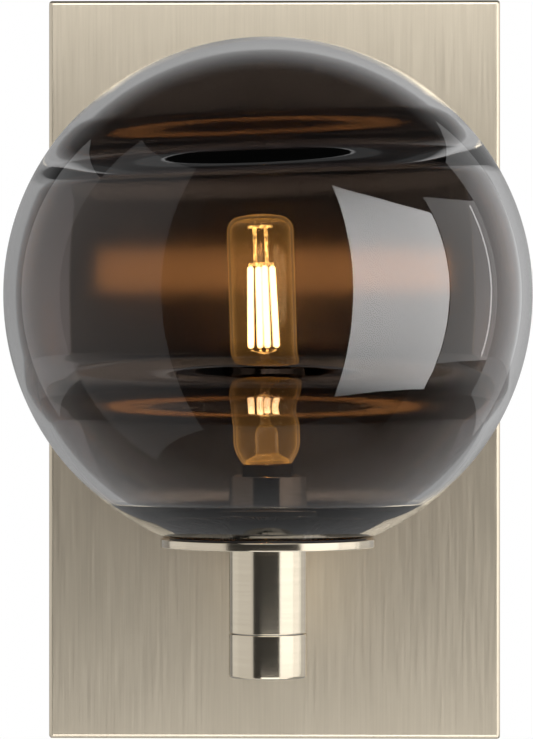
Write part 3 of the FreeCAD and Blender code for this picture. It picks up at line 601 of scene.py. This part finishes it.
def make_seat():
    """The disc that carries the globe."""
    top, foot = high("glass_seat").z, low("glass_seat").z
    outline = rounded(
        (SEAT_RADIUS, foot, 0.25 * MM),
        (SEAT_RADIUS, top, 0.25 * MM),
        (TUBE_RADIUS, top, 0),
        (TUBE_RADIUS, foot, 0),
    )
    seat = lathe("glass_seat_shown", outline, 192)
    shown(seat, "glass_seat", "fixture", turned_nickel)


def make_gasket():
    """The thin black washer between the disc and the globe."""
    top, foot = high("seat_gasket").z, low("seat_gasket").z
    outer, bore = width("seat_gasket") / 2, NECK_RADIUS
    outline = rounded(
        (outer, foot, 0.1 * MM), (outer, top, 0.1 * MM), (bore, top, 0), (bore, foot, 0)
    )
    gasket = lathe("seat_gasket_shown", outline, 128)
    shown(gasket, "seat_gasket", "fixture", rubber)


def make_cap():
    """The drawn cup that closes the tube's foot."""
    top, foot = high("end_cap").z, low("end_cap").z
    bore = TUBE_RADIUS - CAP_WALL
    outline = rounded(
        (0, foot, 0),
        (TUBE_RADIUS, foot, 0.8 * MM),
        (TUBE_RADIUS, top, 0.25 * MM),
        (bore, top, 0.2 * MM),
        (bore, foot + CAP_WALL, 0.5 * MM),
        (0, foot + CAP_WALL, 0),
    )
    cap = lathe("end_cap_shown", outline, 160)
    shown(cap, "end_cap", "cap", turned_nickel)


make_tube()
make_seat()
make_gasket()
make_cap()


# Lamp


def envelope_side(inset):
    """The lamp glass from its top to its collar, as one skin of it."""
    radius = BULB_RADIUS - inset
    top = BULB_TOP - inset
    shoulder = 4.2 * MM - inset
    flat = radius - shoulder
    neck = BULB_NECK - inset
    dome = 0.6 * MM
    drop = 6.5 * MM
    dome_steps, shoulder_steps, neck_steps = 12, 16, 16
    points = []
    for step in range(dome_steps + 1):
        share = step / dome_steps
        points.append(Vector((flat * share, top - dome * share**2)))
    edge = top - dome
    for step in range(1, shoulder_steps + 1):
        angle = math.pi / 2 * (1 - step / shoulder_steps)
        x = flat + shoulder * math.cos(angle)
        points.append(Vector((x, edge - shoulder * (1 - math.sin(angle)))))
    points.append(Vector((radius, COLLAR_TOP + drop)))
    for step in range(1, neck_steps + 1):
        share = step / neck_steps
        x = radius + (neck - radius) * share**2
        points.append(Vector((x, COLLAR_TOP + drop * (1 - share))))
    return points


def make_envelope():
    """The lamp's tubular glass."""
    outline = envelope_side(0.0) + list(reversed(envelope_side(BULB_GLASS)))
    envelope = leaned(lathe("bulb_envelope_shown", outline, 128))
    shown(envelope, "bulb_envelope", "lamp", lamp_glass)


def make_mount():
    """The glass stem that carries the filaments."""
    neck = BULB_NECK - BULB_GLASS
    stem_radius, rod_radius = 3.2 * MM, 1.3 * MM
    flare_foot = COLLAR_TOP + 1.2 * MM
    flare_top = COLLAR_TOP + 2.6 * MM
    stem_top = COLLAR_TOP + 12.0 * MM
    shoulder = stem_top - 3.0 * MM
    rod_top = stem_top + 16.0 * MM
    outline = rounded(
        (0, COLLAR_TOP, 0),
        (neck, COLLAR_TOP, 0.2 * MM),
        (neck, flare_foot, 0.5 * MM),
        (stem_radius, flare_top, 1.0 * MM),
        (stem_radius, shoulder, 1.5 * MM),
        (rod_radius, stem_top, 0.8 * MM),
        (rod_radius, rod_top, 0.5 * MM),
        (0, rod_top, 0),
    )
    mount = leaned(lathe("bulb_mount_shown", outline, 64))
    shown(mount, "bulb_mount", "lamp", stem_glass)


FILAMENT_COUNT = 4
FILAMENT_TURN = math.radians(17)
FILAMENT_RADIUS = 0.95 * MM
FILAMENT_FOOT = COLLAR_TOP + 32.7 * MM
FILAMENT_TOP = FILAMENT_FOOT + 23.5 * MM
FOOT_SPREAD = 3.8 * MM
TOP_SPREAD = 3.2 * MM


def filament_ends(number):
    """The foot and top points of one filament, before the lamp leans."""
    angle = FILAMENT_TURN + TAU * number / FILAMENT_COUNT
    outward = Vector((math.cos(angle), math.sin(angle), 0))
    foot = AXIS + outward * FOOT_SPREAD + Vector((0, 0, FILAMENT_FOOT))
    top = AXIS + outward * TOP_SPREAD + Vector((0, 0, FILAMENT_TOP))
    return foot, top


def make_filaments():
    """The lit filament sticks."""
    sticks = []
    for number in range(FILAMENT_COUNT):
        foot, top = filament_ends(number)
        sticks.append(rod(f"stick_{number}", foot, top, FILAMENT_RADIUS))
    filaments = leaned(joined("bulb_filaments_shown", sticks))
    shown(filaments, "bulb_filaments", "lamp", filament)


def make_supports():
    """Wires from the glass stem to the filaments, and the holder over their tops."""
    wire, post = 0.35 * MM, 0.55 * MM
    gap = 0.1 * MM
    plate, plate_radius = 0.7 * MM, 3.6 * MM
    hub_radius = 1.3 * MM
    hub_foot = COLLAR_TOP + 28.0 * MM
    holder = FILAMENT_TOP + gap
    post_length, post_offset = 10.0 * MM, 1.6 * MM
    edge = 0.15 * MM
    parts = []

    def disc(name, foot, radius, thick):
        outline = rounded(
            (0, foot, 0), (radius, foot, edge), (radius, foot + thick, edge), (0, foot + thick, 0)
        )
        parts.append(lathe(name, outline, 48))

    disc("hub", hub_foot, hub_radius, 2 * plate)
    start = AXIS + Vector((0, 0, hub_foot + plate))
    for number in range(FILAMENT_COUNT):
        foot, _ = filament_ends(number)
        parts.append(rod(f"wire_{number}", start, foot - Vector((0, 0, wire + gap)), wire, 12))
    disc("plate_low", holder, plate_radius, plate)
    disc("plate_high", holder + plate + post_length, plate_radius, plate)
    for side in (-1, 1):
        place = AXIS + Vector((side * post_offset, 0, 0))
        foot = place + Vector((0, 0, holder))
        head = place + Vector((0, 0, holder + post_length + 2 * plate))
        parts.append(rod(f"post_{side}", foot, head, post, 16))
    supports = leaned(joined("bulb_supports_shown", parts))
    shown(supports, "bulb_supports", "lamp", wire_metal)


def make_collar():
    """The band between the lamp's glass and its screw base."""
    bore = 5.4 * MM
    outline = rounded(
        (COLLAR_RADIUS, COLLAR_FOOT, 0.4 * MM),
        (COLLAR_RADIUS, COLLAR_TOP, 0.5 * MM),
        (bore, COLLAR_TOP, 0),
        (bore, COLLAR_FOOT, 0),
    )
    collar = leaned(lathe("bulb_collar_shown", outline, 96))
    shown(collar, "bulb_collar", "lamp", ceramic)


make_envelope()
make_mount()
make_filaments()
make_supports()
make_collar()


# Screw threads


def threaded(node, body, material, pitch, depth, wall, round_form=False):
    """A tube of a CAD node's size with a helical thread on its outside."""
    top, foot = high(node).z, low(node).z
    outer = width(node) / 2
    rows_per_turn = 12
    rows = round((top - foot) / pitch * rows_per_turn)
    skin = [Vector((outer, foot + (top - foot) * n / rows)) for n in range(rows + 1)]
    bore = [Vector((outer - wall, top)), Vector((outer - wall, foot))]

    def thread(x, z, angle):
        """Draws the outside in between the thread's crests, and not at all at its ends."""
        if x < outer - depth:
            return 0.0
        fade = min(1.0, (z - foot) / pitch, (top - z) / pitch)
        phase = ((z - foot) / pitch - angle / TAU) % 1.0
        wave = 0.5 - 0.5 * math.cos(TAU * phase) if round_form else abs(2 * phase - 1)
        return -depth * wave * max(0.0, fade)

    piece = lathe(node + "_shown", skin + bore, 96, thread)
    shown(piece, node, body, material)


threaded(
    "bulb_shell",
    "lamp",
    base_metal,
    pitch=2.54 * MM,
    depth=0.45 * MM,
    wall=0.5 * MM,
    round_form=True,
)
threaded(
    "socket_nipple",
    "fixture",
    steel,
    pitch=0.94 * MM,
    depth=0.4 * MM,
    wall=1.25 * MM,
)


# Materials of the CAD nodes that are shown as they are

CAD_LOOKS = {
    "backplate": plate_nickel,
    "crossbar": steel,
    "ground_screw": green_steel,
    "side_screws": turned_nickel,
    "arm": turned_nickel,
    "arm_nipple": steel,
    "arm_washer": steel,
    "arm_nut": steel,
    "cap_thread_ring": steel,
    "wire_bushing": black_plastic,
    "grip_sleeve": rubber,
    "socket_insulator": black_plastic,
    "socket_shell": brass,
    "socket_contact": brass,
    "socket_terminals": brass,
    "socket_shelf": steel,
    "socket_nut": steel,
    "bulb_insulator": black_glass,
    "bulb_tip": base_metal,
}
for node, material in CAD_LOOKS.items():
    for slot in nodes[node].material_slots:
        slot.material = material


# Lights and surroundings


def forward(azimuth):
    """A level unit vector by its angle in degrees: 0 is the front and positive is to the right."""
    angle = math.radians(azimuth)
    return Vector((math.sin(angle), -math.cos(angle), 0))


STUDIO_CENTRE = Vector((AXIS.x, AXIS.y, GLOBE_CENTRE))
# How bright the surroundings are on rough surfaces, in mirrors, and in mirrors towards the rear
AMBIENT = 0.35
MIRRORED = 0.03
REAR_MIRRORED = 0.38
CARD_COLUMNS = 16
CARD_ROWS = 6


def card_material(name, sharp, soft, colour=(1, 1, 1), fall=0.0, one_sided=False):
    """A softbox's face, with one strength in mirror-like glass and one on rough surfaces.

    fall dims it away from a height a little over its middle.
    """
    shader = Shader(name)
    light = shader.add("Emission", Color=colour)
    strength = shader.between(shader.add("LightPath").outputs["Is Singular Ray"], soft, sharp)
    if fall:
        height = shader.part(shader.add("TexCoord").outputs["Generated"], "Z")
        away = shader.math("MULTIPLY_ADD", height, 2.0, -1.1)
        dim = shader.math("MULTIPLY", shader.math("MULTIPLY", away, away), fall)
        strength = shader.math("MULTIPLY", strength, shader.math("SUBTRACT", 1.0, dim, clamp=True))
    if one_sided:
        front = shader.math("SUBTRACT", 1.0, shader.add("NewGeometry").outputs["Backfacing"])
        strength = shader.math("MULTIPLY", strength, front)
    shader.fill(light.inputs["Strength"], strength)
    return shader.surface(light.outputs[0])


def stage_face(name, verts, faces, material):
    """A hidden mesh that only lights the object and shows in its reflections."""
    mesh = bpy.data.meshes.new(name)
    mesh.from_pydata(verts, [], faces)
    mesh.materials.append(material)
    face = bpy.data.objects.new(name, mesh)
    bpy.context.scene.collection.objects.link(face)
    face.visible_camera = False
    face.visible_transmission = False
    face.visible_shadow = False


def card(name, azimuths, elevations, far_elevations=None, distance=0.9, **strengths):
    """A curved softbox face that spans a range of directions from the globe's centre, in degrees.

    Its elevations are those at its first azimuth, and far_elevations those at its last.
    """
    far_elevations = far_elevations or elevations
    verts, faces = [], []
    for column in range(CARD_COLUMNS + 1):
        share = column / CARD_COLUMNS
        azimuth = azimuths[0] + (azimuths[1] - azimuths[0]) * share
        foot, head = (near + (far - near) * share for near, far in zip(elevations, far_elevations))
        for row in range(CARD_ROWS + 1):
            elevation = math.radians(foot + (head - foot) * row / CARD_ROWS)
            rise = Vector((0, 0, distance * math.tan(elevation)))
            verts.append(STUDIO_CENTRE + forward(azimuth) * distance + rise)
    below = CARD_ROWS + 1
    for column in range(CARD_COLUMNS):
        for row in range(CARD_ROWS):
            first = column * below + row
            faces.append((first, first + 1, first + below + 1, first + below))
    stage_face(name, verts, faces, card_material(name + "_face", **strengths))


card("softbox_right", (36, 82), (-42, 45), (-31, 27), sharp=8.5, soft=1.6, fall=0.7)
card("side_right", (82.5, 114), (-22, 33), (-15, 24), sharp=1.5, soft=1.2)
card("strip", (108.5, 109.6), (-15, 24), distance=0.88, sharp=5.5, soft=0.0)
card("rear_right", (114, 140), (-24, 36), sharp=0.9, soft=0.6)
card("softbox_left", (-43, -96), (-56, 52), sharp=0.45, soft=0.65)
card("far_left", (-96, -128), (-24, 36), sharp=0.7, soft=0.7)
card("key", (-30, 65), (16, 50), distance=1.1, sharp=0.0, soft=2.8)
card("fill", (-20, 75), (-50, -20), distance=1.1, sharp=0.0, soft=2.4)


BAND_SIZE = (120 * MM, 14 * MM)
# The band's gap to the plate, and its height over the globe's centre
BAND_GAP = 14 * MM
BAND_LIFT = 10.5 * MM
BAND_COLOUR = (1.0, 0.54, 0.20)
BAND_STRENGTH = 3.8
# From the lamp's axis to the small lights in front of it
GLOW_OFFSET = Vector((-1.5 * MM, -6 * MM, 0))
# In front of the top holder, and of the wires under the filaments
GLOW_HEIGHTS = (FILAMENT_TOP + 5 * MM, FILAMENT_FOOT - 6 * MM)
GLOW_COLOUR = (1.0, 0.55, 0.2)
GLOW_WATTS = 0.06
GLOW_RADIUS = 2 * MM


def make_band():
    """The lamp's light on the plate behind the globe, from a warm strip close to the plate."""
    half_width, half_height = (size / 2 for size in BAND_SIZE)
    place = Vector((AXIS.x, PLATE_FRONT - BAND_GAP, GLOBE_CENTRE + BAND_LIFT))
    corners = ((-1, -1), (1, -1), (1, 1), (-1, 1))
    verts = [place + Vector((x * half_width, 0, z * half_height)) for x, z in corners]
    material = card_material("band_face", 0.0, BAND_STRENGTH, BAND_COLOUR, one_sided=True)
    stage_face("lamp_band", verts, [(0, 3, 2, 1)], material)


def make_glow():
    """The filaments' light on the metal round them."""
    for number, height in enumerate(GLOW_HEIGHTS):
        data = bpy.data.lights.new(f"lamp_glow_{number}", "POINT")
        data.energy = GLOW_WATTS
        data.color = GLOW_COLOUR
        data.shadow_soft_size = GLOW_RADIUS
        glow = bpy.data.objects.new(f"lamp_glow_{number}", data)
        bpy.context.scene.collection.objects.link(glow)
        glow.location = AXIS + GLOW_OFFSET + Vector((0, 0, height))
        glow.visible_camera = False
        glow.visible_transmission = False


make_band()
make_glow()


def make_world():
    """White behind the object and through its glass, and a dim studio in what it mirrors."""
    shader = Shader("studio", world=True)
    rays = shader.add("LightPath").outputs
    place = shader.add("TexCoord").outputs["Generated"]
    # 1 towards the rear, and a little brighter there on the right
    rear = shader.math("MULTIPLY_ADD", shader.part(place, "Y"), 4.0, -2.0, clamp=True)
    side = shader.math("MULTIPLY_ADD", shader.part(place, "X"), 0.14, REAR_MIRRORED, clamp=True)
    mirrored = shader.math("MAXIMUM", shader.math("MULTIPLY", rear, side), MIRRORED)
    # White to the camera, and through glass as long as nothing has mirrored or scattered the ray
    bounced = shader.math("ADD", rays["Glossy Depth"], rays["Diffuse Depth"], clamp=True)
    through = shader.math("SUBTRACT", rays["Is Transmission Ray"], bounced, clamp=True)
    white = shader.math("MAXIMUM", rays["Is Camera Ray"], through)
    diffuse = shader.math("MULTIPLY", rays["Is Diffuse Ray"], AMBIENT)
    total = shader.math("MAXIMUM", shader.math("MAXIMUM", white, diffuse), mirrored)
    background = shader.add("Background", Color=(1.0, 1.0, 1.0), Strength=total)
    bpy.context.scene.world = shader.surface(background.outputs[0])


def make_floor():
    """A pale floor below the view, which catches the object's shadow."""
    mesh = bpy.data.meshes.new("floor")
    size, front, level = 4.0, -1.0, -1.4
    mesh.from_pydata(
        [(-size, front, level), (size, front, level), (size, size, level), (-size, size, level)],
        [],
        [(0, 1, 2, 3)],
    )
    shader = Shader("floor")
    cloud = shader.noise(shader.stretched(1, 1, 1), 5.0)
    colour = shader.blend(cloud, (0.78, 0.78, 0.78), (0.82, 0.82, 0.82))
    # In the glass's sharp reflections its front part is dark, like the rest of the studio
    rays = shader.add("LightPath").outputs
    place = shader.part(shader.add("TexCoord").outputs["Object"], "Y")
    dark = shader.math("MULTIPLY_ADD", place, -0.7, 0.75, clamp=True)
    mirrored = shader.math("MULTIPLY", rays["Is Glossy Ray"], rays["Is Singular Ray"])
    colour = shader.blend(shader.math("MULTIPLY", mirrored, dark), colour, (0.1, 0.1, 0.1))
    matte = shader.principled(Base_Color=colour, Roughness=0.8)
    mesh.materials.append(shader.surface(matte.outputs[0]))
    floor = bpy.data.objects.new("floor", mesh)
    bpy.context.scene.collection.objects.link(floor)


make_world()
make_floor()


# Camera

CAMERA_PLACE = Vector((21.75 * MM, -1227 * MM, 0))
CAMERA_AIM = Vector((-0.4 * MM, AXIS.y, 0))

LENS = 190
SENSOR_WIDTH = 36

camera_data = bpy.data.cameras.new("camera")
camera_data.lens = LENS
camera_data.sensor_width = SENSOR_WIDTH
camera = bpy.data.objects.new("camera", camera_data)
bpy.context.scene.collection.objects.link(camera)
camera.location = CAMERA_PLACE
camera.rotation_mode = "QUATERNION"
camera.rotation_quaternion = (CAMERA_PLACE - CAMERA_AIM).to_track_quat("Z", "Y")
bpy.context.scene.camera = camera
bpy.context.scene.view_settings.view_transform = "Standard"
